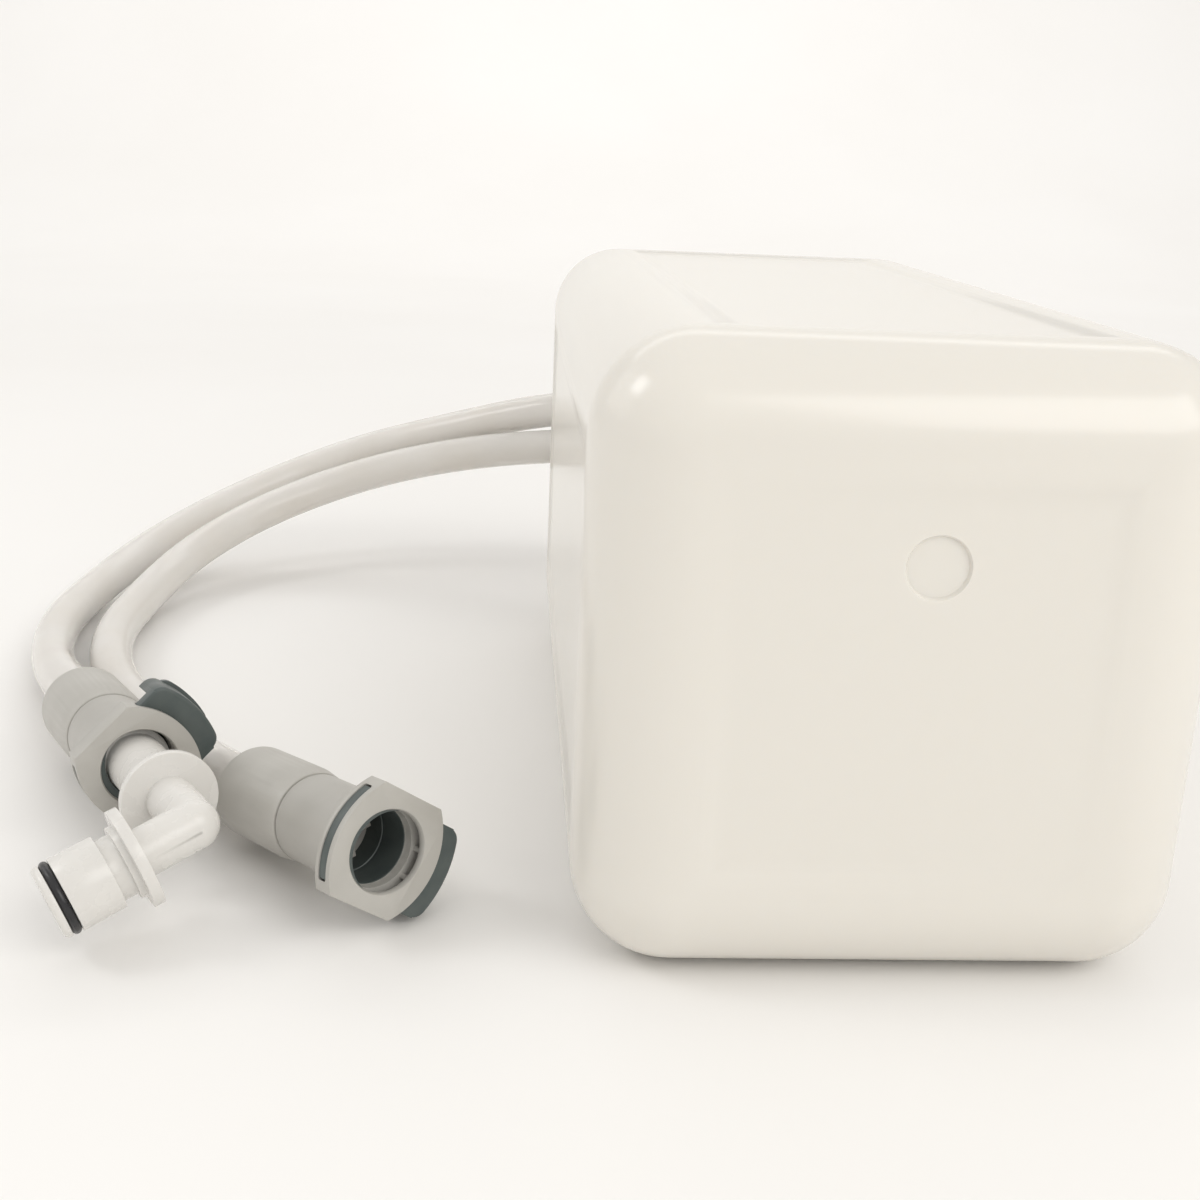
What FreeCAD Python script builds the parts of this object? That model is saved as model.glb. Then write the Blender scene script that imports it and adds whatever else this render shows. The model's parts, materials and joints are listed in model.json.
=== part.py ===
"""Fresh water tank lying on its side, with two hoses and quick-disconnect couplings.

Millimetres, +Z up. The origin is the centre of the face that the tank rests on.
The closed end of the tank looks along -Y and the neck and its closure along +Y.
"""
import FreeCAD
import Part
import math
import os

V = FreeCAD.Vector

# tank shell
TANK_W = 175.0
TANK_D = 360.0
TANK_H = 181.0
EDGE_R = 28.5
WALL = 3.0
GATE_R = 8.9
GATE_DEPTH = 0.7
GATE_X = 3.0
GATE_Z = 124.0

# neck and closure, stacked along +Y
NECK_OD = 76.0
NECK_WALL = 4.0
NECK_LEN = 26.0
GASKET_T = 2.0
PLATE_T = 6.0
PLATE_RIM = 2.0
SLIP_T = 1.2
LIP_T = 3.5
COLLAR_WALL = 5.0
COLLAR_SKIRT = 20.0
COLLAR_GRIPS = 28
GRIP_R = 2.0
FIT = 0.35

# ports in the closure plate
PORT_OFFSET = 15.0
STEM_R = 6.3
STEM_BORE = 4.4
PORT_NUT_AF = 20.0
PORT_NUT_T = 5.0
PORT_WASHER_T = 1.5
SHOULDER_T = 6.0
LEG_RISE = 25.0
SUCTION_TILT = 12.0
VENT_X = 22.0
VENT_R = 5.0
VENT_HEAD_R = 8.0
VENT_HEAD_T = 8.0

# dip tube and foot strainer
DIP_R = 6.0
DIP_BORE = 4.6
STRAINER_R = 9.0
STRAINER_LEN = 22.0
STRAINER_GAP = 6.0

# hose
HOSE_R = 8.75
HOSE_BORE = 6.35
BARB_R = 6.25
BARB_LEN = 24.0
CLAMP_W = 8.0
CLAMP_T = 1.0

# quick-disconnect coupling, measured back from its mouth
FLANGE_T = 8.0
FLANGE_HALF = 17.8
FLANGE_TIP = 18.4
NOSE_CURVE = 24.9
FLANGE_TAIL = 18.0
TAIL_CURVE = 27.1
BODY_R = 14.0
BODY_END = 41.0
SPIGOT_R = 12.6
SPIGOT_END = 56.0
MOUTH_R = 12.8
BORE_R = 11.95
BORE_LAND_END = 21.6
BORE_INNER_R = 11.6
BORE_STEP = 8.3
SEAT_AT = 30.0
SEAT_T = 3.0
SEAT_R = 8.6
CHAMBER_R = 11.0
SLEEVE_R = 15.1
SLEEVE_START = 42.0
SLEEVE_CHAMFER = 7.0
COUPLING_LEN = 82.0
SLEEVE_ROUND = 4.0
HOSE_STOP = 59.5
RIB_T = 1.6
RIB_H = 3.0
HUB_LEN = 8.0

# latch
SLOT_FROM = 2.1
SLOT_T = 4.2
SLOT_ROUND = 1.0
PLATE_GAP = 0.2
SLOT_HALF = 15.0
LATCH_HALF = 14.4
LATCH_RECESS = 0.35
WINDOW_R = 12.6
WINDOW_SHIFT = 2.6
WINDOW_NOSE = 17.4
WINDOW_NOSE_HALF = 8.0
PAD_IN = 21.9
PAD_OUT = 26.0
PAD_CURVE = 33.9
PAD_CORNER = 4.5
PAD_EDGE = 1.2
PAD_BACK = 15.5
PAD_LIP = 1.2
POST_R = 0.9
POST_T = 13.3
POST_N = 4.5

# valve
HEAD_R = 10.3
HEAD_T = 3.0
CROWN_TIP = 22.0
CROWN_R = 8.0
GUIDE_R = 2.6
GUIDE_LEN = 13.0
SPRING_R = 5.6
SPRING_WIRE = 0.9
SEAL_T = 0.9

# elbow insert
PIPE_R = 11.3
INSERT_IN = 26.0
SHANK_R = 9.5
RING_R = 1.35
ELBOW_R = 7.4
ELBOW_BORE = 5.2
LEG_ONE = 59.0
LEG_TWO = 44.5
STOP_ONE_R = 14.8
STOP_ONE_AT = 26.1
STOP_TWO_R = 15.3
STOP_TWO_AT = 18.4
STOP_T = 3.3
LATCH_GROOVE = 2.0
LATCH_GROOVE_T = 4.3

# where the couplings lie: mouth centre, heading from -Y to +X, nose-up, latch angle
OPEN_AT = V(-139.9, -145.9, 25.95)
OPEN_AIM = (37.0, 6.8, -35.7)
HELD_AT = V(-223.2, -88.8, 26.7)
HELD_AIM = (27.6, 4.5, 40.0)
ELBOW_TURN = 200.0

# hose routes between coupling and port, chosen by hand for this leg place and hose size
ROUTE_LEG_Y = 239.0
ROUTE_HOSE_R = 8.75
OPEN_ROUTE = [(-238, -8, 9.6), (-266, 43, 9.2), (-280, 98, 9.2), (-279, 154, 10.2), (-265, 210, 20),
              (-230, 247, 35.5), (-178, 262, 53), (-124, 249, 67.5), (-72, 240, 74)]
HELD_ROUTE = [(-297, 66, 9.6), (-307, 116, 9.4), (-304, 170, 10.4), (-287, 226, 19.5),
              (-247, 266, 37), (-192, 284, 58), (-137, 273, 75), (-88, 250, 91)]


# ---- general shapes ----

def rounded_box(width, depth, height, radius, base):
    box = Part.makeBox(width, depth, height, base)
    return box.makeFillet(radius, box.Edges)


def rod(radius, start, end):
    """A cylinder from one point to another."""
    return Part.makeCylinder(radius, (end - start).Length, start, end - start)


def tube(outer, inner, start, end):
    return rod(outer, start, end).cut(rod(inner, start, end))


def along_y(y, x=0.0, z=0.0):
    """A point of the closure, measured from the neck's axis."""
    return V(x, y, TANK_H / 2 + z)


def hex_nut(flats, thickness, hole, base):
    """A nut with its axis along +Y."""
    corner = flats / math.sqrt(3)
    points = [base + V(corner * math.cos(k * math.pi / 3), 0, corner * math.sin(k * math.pi / 3)) for k in range(7)]
    nut = Part.Face(Part.makePolygon(points)).extrude(V(0, thickness, 0))
    return nut.cut(Part.makeCylinder(hole, thickness, base, V(0, 1, 0)))


def turned(profile):
    """A solid turned about local Z from a closed profile of (radius, z) points."""
    points = [V(r, 0, z) for r, z in profile]
    face = Part.Face(Part.makePolygon(points + points[:1]))
    return face.revolve(V(0, 0, 0), V(0, 0, 1), 360)


def ring(radius, wire, z):
    """An O-ring about local Z."""
    return Part.makeTorus(radius, wire, V(0, 0, z), V(0, 0, 1))


def export(name, shape):
    shape.exportStep("parts/%s.step" % name)


# ---- places ----

def coupling_axes(aim):
    """Latch direction, side direction and outward axis of a coupling."""
    heading, lift, roll = [math.radians(value) for value in aim]
    axis = V(math.sin(heading) * math.cos(lift), -math.cos(heading) * math.cos(lift), math.sin(lift))
    side = V(0, 0, 1).cross(axis).normalize()
    up = axis.cross(side)
    latch = side * math.cos(roll) + up * math.sin(roll)
    across = up * math.cos(roll) - side * math.sin(roll)
    return latch, across, axis


def placed(shape, at, axes):
    """Moves a shape from the coupling's own frame to its place."""
    x, y, z = axes
    matrix = FreeCAD.Matrix(x.x, y.x, z.x, at.x, x.y, y.y, z.y, at.y, x.z, y.z, z.z, at.z, 0, 0, 0, 1)
    moved = shape.copy()
    moved.Placement = FreeCAD.Placement(matrix).multiply(shape.Placement)
    return moved


# ---- tank ----

NECK_TOP = TANK_D / 2 + NECK_LEN
GASKET_TOP = NECK_TOP + GASKET_T
PLATE_TOP = GASKET_TOP + PLATE_T
SLIP_TOP = PLATE_TOP + SLIP_T
PLATE_R = NECK_OD / 2 + PLATE_RIM
LIP_R = NECK_OD / 2 - NECK_WALL
LEG_Y = PLATE_TOP + LEG_RISE


def tank_shell():
    """The moulded shell with its gate mark and the way to the neck."""
    outer = rounded_box(TANK_W, TANK_D, TANK_H, EDGE_R, V(-TANK_W / 2, -TANK_D / 2, 0))
    inner = rounded_box(TANK_W - 2 * WALL, TANK_D - 2 * WALL, TANK_H - 2 * WALL, EDGE_R - WALL,
                        V(-TANK_W / 2 + WALL, -TANK_D / 2 + WALL, WALL))
    passage = rod(NECK_OD / 2 - NECK_WALL, along_y(TANK_D / 2 - 2 * WALL), along_y(NECK_TOP))
    front = -TANK_D / 2
    gate = rod(GATE_R, V(GATE_X, front, GATE_Z), V(GATE_X, front + GATE_DEPTH, GATE_Z))
    return outer.cut(inner).cut(passage).cut(gate)


def tank_bands():
    """The shell in three simple pieces: closed end, straight walls and neck end."""
    shell = tank_shell()
    straight = TANK_D / 2 - EDGE_R
    ends = {"tank_end": (-TANK_D, -straight), "tank_walls": (-straight, straight), "tank_shoulder": (straight, TANK_D)}
    bands = {}
    for name, (low, high) in ends.items():
        bands[name] = shell.common(Part.makeBox(2 * TANK_W, high - low, 2 * TANK_H, V(-TANK_W, low, -1)))
    return bands


def tank_neck():
    """The neck that the closure screws over."""
    tube = rod(NECK_OD / 2, along_y(TANK_D / 2), along_y(NECK_TOP))
    return tube.cut(rod(NECK_OD / 2 - NECK_WALL, along_y(TANK_D / 2 - 1), along_y(NECK_TOP + 1)))


def screw_collar():
    bore = PLATE_R + FIT
    outer = bore + COLLAR_WALL
    skirt_y = GASKET_TOP - COLLAR_SKIRT
    top_y = SLIP_TOP + LIP_T
    collar = rod(outer, along_y(skirt_y), along_y(top_y))
    collar = collar.cut(rod(bore, along_y(skirt_y), along_y(SLIP_TOP)))
    collar = collar.cut(rod(LIP_R, along_y(SLIP_TOP), along_y(top_y)))
    grips = []
    for k in range(COLLAR_GRIPS):
        angle = 2 * math.pi * k / COLLAR_GRIPS
        x, z = (outer + GRIP_R / 2) * math.cos(angle), (outer + GRIP_R / 2) * math.sin(angle)
        grips.append(rod(GRIP_R, along_y(skirt_y, x, z), along_y(top_y, x, z)))
    return collar.cut(Part.makeCompound(grips))


def slip_washer():
    return tube(PLATE_R, LIP_R, along_y(PLATE_TOP), along_y(SLIP_TOP))


def closure_gasket():
    return tube(NECK_OD / 2, NECK_OD / 2 - NECK_WALL, along_y(NECK_TOP), along_y(GASKET_TOP))


def port_plate():
    plate = rod(PLATE_R, along_y(GASKET_TOP), along_y(PLATE_TOP))
    for z in (PORT_OFFSET, -PORT_OFFSET):
        plate = plate.cut(rod(STEM_R + FIT / 2, along_y(GASKET_TOP, 0, z), along_y(PLATE_TOP, 0, z)))
    return plate.cut(rod(VENT_R + FIT / 2, along_y(GASKET_TOP, VENT_X), along_y(PLATE_TOP, VENT_X)))


# ---- ports ----

STEM_END = GASKET_TOP - PORT_NUT_T - 6.0
SHOULDER_Y = PLATE_TOP + PORT_WASHER_T


def leg_direction(tilt):
    """The barbed leg leaves towards -X, turned down by the tilt."""
    return V(-math.cos(math.radians(tilt)), 0, -math.sin(math.radians(tilt)))


def leg_frame(z, tilt):
    corner = along_y(LEG_Y, 0, z)
    return corner, leg_direction(tilt)


HOSE_START = 20.0


def port_elbow(z, tilt):
    """A barbed elbow: threaded stem, hexagon shoulder and barbed leg."""
    corner, away = leg_frame(z, tilt)
    stem = rod(STEM_R, along_y(STEM_END, 0, z), along_y(SHOULDER_Y, 0, z))
    shoulder = hex_nut(PORT_NUT_AF, SHOULDER_T, 0.5, along_y(SHOULDER_Y, 0, z))
    post = rod(HOSE_BORE + 1.6, along_y(SHOULDER_Y, 0, z), corner)
    knuckle = Part.makeSphere(HOSE_BORE + 1.6, corner)
    leg = rod(HOSE_BORE + 1.6, corner, corner + away * (HOSE_START - 1))
    spigot = rod(BARB_R - 0.5, corner, corner + away * (HOSE_START + BARB_LEN))
    elbow = stem.fuse([shoulder, post, knuckle, leg, spigot])
    for k in range(3):
        base = corner + away * (HOSE_START + 2 + 7 * k)
        elbow = elbow.fuse(Part.makeCone(BARB_R, BARB_R - 0.5, 5, base, away))
    elbow = elbow.cut(rod(STEM_BORE, along_y(STEM_END, 0, z), corner))
    elbow = elbow.cut(Part.makeSphere(STEM_BORE, corner))
    return elbow.cut(rod(STEM_BORE, corner, corner + away * (HOSE_START + BARB_LEN)))


def port_washer(z):
    return tube(PORT_NUT_AF / 2, STEM_R + FIT / 2, along_y(PLATE_TOP, 0, z), along_y(SHOULDER_Y, 0, z))


def port_nut(z):
    return hex_nut(PORT_NUT_AF, PORT_NUT_T, STEM_R + FIT / 2, along_y(GASKET_TOP - PORT_NUT_T, 0, z))


def hose_clamp(z, tilt):
    """A band with two ears, pulled together over the hose."""
    corner, away = leg_frame(z, tilt)
    start = corner + away * (HOSE_START + 5)
    end = start + away * CLAMP_W
    outer = HOSE_R + FIT / 2 + CLAMP_T
    band = tube(outer, HOSE_R + FIT / 2, start, end)
    ears = Part.makeBox(5, 6, CLAMP_W, V(-2.5, HOSE_R + 0.6, 0))
    ears = ears.cut(Part.makeBox(1.6, 6, CLAMP_W, V(-0.8, HOSE_R + 0.6, 0)))
    axes = (V(0, 1, 0).cross(away), V(0, 1, 0), away)
    ears = placed(ears, start, (axes[1].cross(axes[2]), axes[1], axes[2]))
    return band.fuse(ears.cut(rod(HOSE_R + FIT / 2, start, end)))


def vent_body():
    """A mushroom vent: stem through the plate, domed head with an air gap under it."""
    stem = rod(VENT_R, along_y(GASKET_TOP - 2, VENT_X), along_y(PLATE_TOP + 2, VENT_X))
    head = rod(VENT_HEAD_R, along_y(PLATE_TOP + 2, VENT_X), along_y(PLATE_TOP + VENT_HEAD_T, VENT_X))
    head = head.makeFillet(2.5, [head.Edges[0]])
    body = stem.fuse(head)
    return body.cut(rod(VENT_R - 2, along_y(GASKET_TOP - 2, VENT_X), along_y(PLATE_TOP + 5, VENT_X)))


def vent_flap():
    """The rubber disc that closes the vent against splashing."""
    return tube(VENT_HEAD_R - 0.5, VENT_R + FIT / 2, along_y(PLATE_TOP, VENT_X), along_y(PLATE_TOP + 1.6, VENT_X))


def dip_tube():
    start = along_y(STEM_END, 0, PORT_OFFSET)
    end = along_y(-TANK_D / 2 + WALL + STRAINER_GAP + STRAINER_LEN - 4, 0, PORT_OFFSET)
    return tube(DIP_R, DIP_BORE, end, start)


def foot_strainer():
    end_y = -TANK_D / 2 + WALL + STRAINER_GAP
    foot = along_y(end_y, 0, PORT_OFFSET)
    top = along_y(end_y + STRAINER_LEN, 0, PORT_OFFSET)
    body = rod(STRAINER_R, foot, top)
    socket = rod(DIP_R + FIT / 2, along_y(end_y + STRAINER_LEN - 4, 0, PORT_OFFSET), top)
    inside = rod(DIP_BORE, along_y(end_y + 2, 0, PORT_OFFSET), top)
    body = body.cut(socket).cut(inside)
    for k in range(4):
        slot_y = end_y + 3 + 3.5 * k
        corner = along_y(slot_y, -STRAINER_R, 0) + V(0, 0, PORT_OFFSET - 2)
        body = body.cut(Part.makeBox(2 * STRAINER_R, 1.5, 4, corner))
    return body


# ---- hoses ----

def hose_path(points):
    """Straight runs joined by tangent arcs as large as the shorter run allows."""
    edges, radii, here = [], [], points[0]
    for before, at, after in zip(points, points[1:], points[2:]):
        back, on = at - before, after - at
        shorter = min(back.Length, on.Length)
        back.normalize()
        on.normalize()
        turn = back.getAngle(on)
        reach = 0.45 * shorter
        radius = reach / math.tan(turn / 2)
        start, end = at - back * reach, at + on * reach
        middle = at + (on - back).normalize() * (radius / math.cos(turn / 2) - radius)
        edges.append(Part.LineSegment(here, start).toShape())
        edges.append(Part.Arc(start, middle, end).toShape())
        radii.append(radius)
        here = end
    edges.append(Part.LineSegment(here, points[-1]).toShape())
    return Part.Wire(edges), radii


def hose(name, points):
    path, radii = hose_path(points)
    first = points[1] - points[0]
    faces = []
    for radius in (HOSE_R, HOSE_BORE):
        circle = Part.Wire(Part.makeCircle(radius, points[0], first))
        faces.append(path.makePipeShell([circle], True, False))
    solid = faces[0].cut(faces[1])
    section = math.pi * (HOSE_R ** 2 - HOSE_BORE ** 2)
    runs = [(b - a).Length for a, b in zip(points, points[1:])]
    print(name, "length %.1f" % path.Length, "volume ratio %.4f" % (solid.Volume / (section * path.Length)))
    print("  radii", [round(r) for r in radii], "runs", [round(r) for r in runs])
    return solid


def route(at, aim, middle, z, tilt, spread):
    """From the hose's end inside the coupling to its end on the barbed leg, following the port's place."""
    axis = coupling_axes(aim)[2]
    corner, away = leg_frame(z, tilt)
    shift, thicker = LEG_Y - ROUTE_LEG_Y, HOSE_R - ROUTE_HOSE_R
    first = [at - axis * HOSE_STOP, at - axis * (HOSE_STOP + 52)]
    last = [corner + away * (HOSE_START + 30), corner + away * HOSE_START]
    moved = [V(x, y + shift * k / (len(middle) - 1), h + thicker * (1 + spread * min(k, len(middle) - k) / 2))
             for k, (x, y, h) in enumerate(middle)]
    return first + moved + last


# ---- coupling, in its own frame: X to the latch, Z out of the mouth, mouth at Z = 0 ----

def lens(tip, nose_curve, tail, tail_curve, half):
    """Flats on both sides, closed by an arc at the latch end and an arc at the tail."""
    nose_x = tip - nose_curve + math.sqrt(nose_curve ** 2 - half ** 2)
    tail_x = -tail + tail_curve - math.sqrt(tail_curve ** 2 - half ** 2)
    a, b, c, d = V(tail_x, -half, 0), V(nose_x, -half, 0), V(nose_x, half, 0), V(tail_x, half, 0)
    edges = [Part.LineSegment(a, b).toShape(), Part.Arc(b, V(tip, 0, 0), c).toShape(),
             Part.LineSegment(c, d).toShape(), Part.Arc(d, V(-tail, 0, 0), a).toShape()]
    return Part.Face(Part.Wire(edges))


def coupling_body():
    flange = lens(FLANGE_TIP, NOSE_CURVE, FLANGE_TAIL, TAIL_CURVE, FLANGE_HALF).extrude(V(0, 0, -FLANGE_T))
    barrel = turned([(0, 0), (0, -SPIGOT_END), (SPIGOT_R, -SPIGOT_END), (SPIGOT_R, -BODY_END),
                     (BODY_R, -BODY_END), (BODY_R, 0)])
    seat_back = SEAT_AT + SEAT_T
    bore = turned([(0, 1), (MOUTH_R + 1, 1), (MOUTH_R, 0), (MOUTH_R - 0.5, -1), (MOUTH_R - 0.5, -BORE_STEP),
                   (BORE_R, -BORE_STEP - 0.6), (BORE_R, -BORE_LAND_END),
                   (BORE_INNER_R, -BORE_LAND_END), (BORE_INNER_R, -SEAT_AT), (SEAT_R, -SEAT_AT), (SEAT_R, -seat_back),
                   (CHAMBER_R, -seat_back), (CHAMBER_R, -SPIGOT_END - 1), (0, -SPIGOT_END - 1)])
    slot = Part.makeBox(80, 2 * SLOT_HALF, SLOT_T, V(-40, -SLOT_HALF, -SLOT_FROM - SLOT_T))
    slot = slot.makeFillet(SLOT_ROUND, [edge for edge in slot.Edges if edge.BoundBox.XLength > 70])
    body = flange.fuse(barrel).cut(slot).cut(bore)
    for side in (POST_N, -POST_N):
        body = body.fuse(Part.makeCylinder(POST_R, SLOT_T + 1, V(POST_T, side, -SLOT_FROM - SLOT_T - 0.5)))
    return body


def hose_sleeve():
    """The hose nut, with a chamfered front and a round back."""
    front, back = -SLEEVE_START, -COUPLING_LEN
    outer = turned([(0, front), (BODY_R + 0.2, front), (SLEEVE_R, front - SLEEVE_CHAMFER), (SLEEVE_R, back), (0, back)])
    rim = [edge for edge in outer.Edges if abs(edge.BoundBox.ZMax - back) < 0.01 and edge.BoundBox.XLength > SLEEVE_R]
    outer = outer.makeFillet(SLEEVE_ROUND, rim)
    inner = turned([(0, front), (SPIGOT_R + FIT, front), (SPIGOT_R + FIT, -HOSE_STOP), (HOSE_R + FIT, -HOSE_STOP),
                    (HOSE_R + FIT, back), (0, back)])
    return outer.cut(inner)


def hose_tail():
    """The barbed tail that holds the hose, with ribs that carry the guide for the valve stem."""
    face = -SPIGOT_END
    flange = turned([(0, face), (SPIGOT_R, face), (SPIGOT_R, -HOSE_STOP), (0, -HOSE_STOP)])
    tail = flange.fuse(Part.makeCylinder(BARB_R - 0.5, BARB_LEN, V(0, 0, -HOSE_STOP - BARB_LEN)))
    for k in range(3):
        base = V(0, 0, -HOSE_STOP - 2 - 7 * k)
        tail = tail.fuse(Part.makeCone(BARB_R, BARB_R - 0.5, 5, base, V(0, 0, -1)))
    tail = tail.cut(Part.makeCylinder(STEM_BORE, BARB_LEN + 1, V(0, 0, -HOSE_STOP - BARB_LEN - 1)))
    tail = tail.cut(Part.makeCone(STEM_BORE, CROWN_R, HOSE_STOP - SPIGOT_END, V(0, 0, -HOSE_STOP)))
    rib_len = 2 * (CHAMBER_R - FIT)
    ribs = [Part.makeBox(rib_len, RIB_T, RIB_H, V(-rib_len / 2, -RIB_T / 2, face)),
            Part.makeBox(RIB_T, rib_len, RIB_H, V(-RIB_T / 2, -rib_len / 2, face))]
    hub = Part.makeCylinder(GUIDE_R + 1.6, HUB_LEN, V(0, 0, face))
    tail = tail.fuse(ribs + [hub])
    return tail.cut(Part.makeCylinder(GUIDE_R + FIT, HUB_LEN + 1, V(0, 0, face - 1)))


def latch_window():
    """Round window that clears the insert when pressed, with a bay for the spring."""
    window = Part.makeCylinder(WINDOW_R, 10, V(WINDOW_SHIFT, 0, -10))
    bay = Part.makeBox(WINDOW_NOSE, 2 * WINDOW_NOSE_HALF, 10, V(0, -WINDOW_NOSE_HALF, -10))
    return window.fuse(bay)


def pad_outline(reach, half, corner):
    """Straight sides and an arc of the pad's curve, with round corners between them."""
    centre = reach - PAD_CURVE
    curve = PAD_CURVE
    x = centre + math.sqrt((curve - corner) ** 2 - (half - corner) ** 2)
    lean = math.atan2(half - corner, x - centre)
    on_arc = V(centre + curve * math.cos(lean), curve * math.sin(lean), 0)
    middle = math.radians(90 + math.degrees(lean)) / 2
    between = V(x + corner * math.cos(middle), half - corner + corner * math.sin(middle), 0)
    top, inner_top = V(x, half, 0), V(0, half, 0)
    flip = lambda v: V(v.x, -v.y, 0)
    edges = [Part.LineSegment(flip(inner_top), flip(top)).toShape(),
             Part.Arc(flip(top), flip(between), flip(on_arc)).toShape(),
             Part.Arc(flip(on_arc), V(reach, 0, 0), on_arc).toShape(),
             Part.Arc(on_arc, between, top).toShape(),
             Part.LineSegment(top, inner_top).toShape(),
             Part.LineSegment(inner_top, flip(inner_top)).toShape()]
    return Part.Face(Part.Wire(edges))


def latch():
    """Sliding plate with its thumb pad."""
    front = -SLOT_FROM - PLATE_GAP
    thick = SLOT_T - 2 * PLATE_GAP
    tail = lens(PAD_IN + 1.5, PAD_CURVE, FLANGE_TAIL - LATCH_RECESS, TAIL_CURVE - LATCH_RECESS, LATCH_HALF)
    plate = tail.extrude(V(0, 0, -thick)).translated(V(0, 0, front)).cut(latch_window())
    pad = pad_outline(PAD_OUT, LATCH_HALF, PAD_CORNER).extrude(V(0, 0, -(PAD_BACK + front)))
    pad = pad.translated(V(0, 0, front))
    outer = [e for e in pad.Edges if e.BoundBox.ZMin > front - 0.01 and e.BoundBox.XMax > 15 and e.BoundBox.XMin > 15]
    pad = pad.makeFillet(PAD_EDGE, outer)
    inner = Part.makeCylinder(PAD_CURVE - (PAD_OUT - PAD_IN), 60, V(PAD_OUT - PAD_CURVE, 0, -40))
    lip = pad_outline(PAD_OUT + PAD_LIP, LATCH_HALF - 3, PAD_CORNER).extrude(V(0, 0, 2.2)).translated(V(0, 0, -PAD_BACK))
    pad = pad.fuse(lip).cut(inner)
    pad = pad.common(Part.makeBox(60, 60, 60, V(PAD_IN - PAD_CURVE / 4, -30, -50)))
    return plate.fuse(pad)


def latch_spring():
    """A bowed steel strip between the two posts and the latch window."""
    rise = WINDOW_NOSE - POST_T - POST_R - 0.5
    ends_x = POST_T + POST_R + 0.05
    outer = Part.Arc(V(ends_x, 6.8, 0), V(ends_x + rise, 0, 0), V(ends_x, -6.8, 0)).toShape()
    inner = Part.Arc(V(ends_x, -6.2, 0), V(ends_x + rise - 0.5, 0, 0), V(ends_x, 6.2, 0)).toShape()
    caps = [Part.LineSegment(V(ends_x, -6.8, 0), V(ends_x, -6.2, 0)).toShape(),
            Part.LineSegment(V(ends_x, 6.2, 0), V(ends_x, 6.8, 0)).toShape()]
    strip = Part.Face(Part.Wire([outer, caps[0], inner, caps[1]]))
    return strip.extrude(V(0, 0, -2.4)).translated(V(0, 0, -SLOT_FROM - 0.5))


def valve_poppet(back):
    """Valve head with a crown that the insert pushes and a guide stem, moved back by a distance."""
    top = -(SEAT_AT + SEAT_T) - SEAL_T - 0.1
    head = turned([(0, top), (HEAD_R - 1.2, top), (HEAD_R, top - 1.2), (HEAD_R, top - HEAD_T), (0, top - HEAD_T)])
    stem = Part.makeCylinder(GUIDE_R, GUIDE_LEN, V(0, 0, top - HEAD_T - GUIDE_LEN))
    crown_len = -CROWN_TIP - top
    crown = []
    for angle in (0, 90):
        rib = Part.makeBox(2 * CROWN_R, 2, crown_len, V(-CROWN_R, -1, top))
        crown.append(rib.rotated(V(0, 0, 0), V(0, 0, 1), 45 + angle))
    poppet = head.fuse([stem] + crown)
    return poppet.translated(V(0, 0, -back))


def poppet_seal(back):
    """Flat seal that lies on the valve head, around the crown."""
    top = -(SEAT_AT + SEAT_T) - 0.1
    seal = turned([(CROWN_R + 0.3, top), (HEAD_R - 0.4, top), (HEAD_R - 0.4, top - SEAL_T), (CROWN_R + 0.3, top - SEAL_T)])
    return seal.translated(V(0, 0, -back))


def valve_spring(back):
    """The coil's envelope around the guide, from the valve head to the tail."""
    top = -(SEAT_AT + SEAT_T) - SEAL_T - 0.1 - HEAD_T - back
    foot = -SPIGOT_END + RIB_H
    inner = SPRING_R - SPRING_WIRE
    return turned([(SPRING_R, top), (SPRING_R, foot), (inner, foot), (inner, top)])


# ---- elbow insert, in the held coupling's frame ----

INSERT_OPENS = INSERT_IN - CROWN_TIP + 0.1
RING_SEAT = PIPE_R - 2 * RING_R - 0.03


def nose_profile(nose, out):
    """Profile of an insert end: nose lip, O-ring groove, smooth land, latch groove."""
    s = out
    return [(0, nose), (PIPE_R - 0.9, nose), (PIPE_R - 0.2, nose - s * 1.0), (PIPE_R - 0.2, nose - s * 2.2),
            (RING_SEAT, nose - s * 2.2), (RING_SEAT, nose - s * (2.2 + 2 * RING_R + 0.2)),
            (PIPE_R, nose - s * (2.2 + 2 * RING_R + 0.2))]


def inserted_leg():
    """From the nose inside the coupling, past its stop, to the elbow's corner."""
    shoulder = -SLOT_FROM - SLOT_T - 0.3
    stop = LEG_ONE - STOP_ONE_AT
    profile = nose_profile(-INSERT_IN, -1) + [
        (PIPE_R, shoulder), (SHANK_R, shoulder), (SHANK_R, stop - STOP_T / 2), (STOP_ONE_R, stop - STOP_T / 2),
        (STOP_ONE_R, stop + STOP_T / 2), (ELBOW_R, stop + STOP_T / 2), (ELBOW_R, LEG_ONE), (0, LEG_ONE)]
    return turned(profile)


def free_leg():
    """The leg that a second coupling could take, along +Z from the elbow's corner."""
    face = STOP_TWO_AT + STOP_T / 2
    groove = face + LATCH_GROOVE
    profile = [(0, 0), (ELBOW_R, 0), (ELBOW_R, face - STOP_T), (STOP_TWO_R, face - STOP_T), (STOP_TWO_R, face),
               (PIPE_R, face), (PIPE_R, groove), (SHANK_R, groove), (SHANK_R, groove + LATCH_GROOVE_T),
               (PIPE_R, groove + LATCH_GROOVE_T)]
    profile += list(reversed(nose_profile(LEG_TWO, 1)))
    return turned(profile)


def elbow_frame():
    """The free leg's own axes inside the coupling frame."""
    latch_roll = HELD_AIM[2]
    angle = math.radians(ELBOW_TURN - latch_roll)
    out = V(math.cos(angle), math.sin(angle), 0)
    side = V(0, 0, 1).cross(out)
    return (side, V(0, 0, 1) * 1.0, out)


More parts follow.
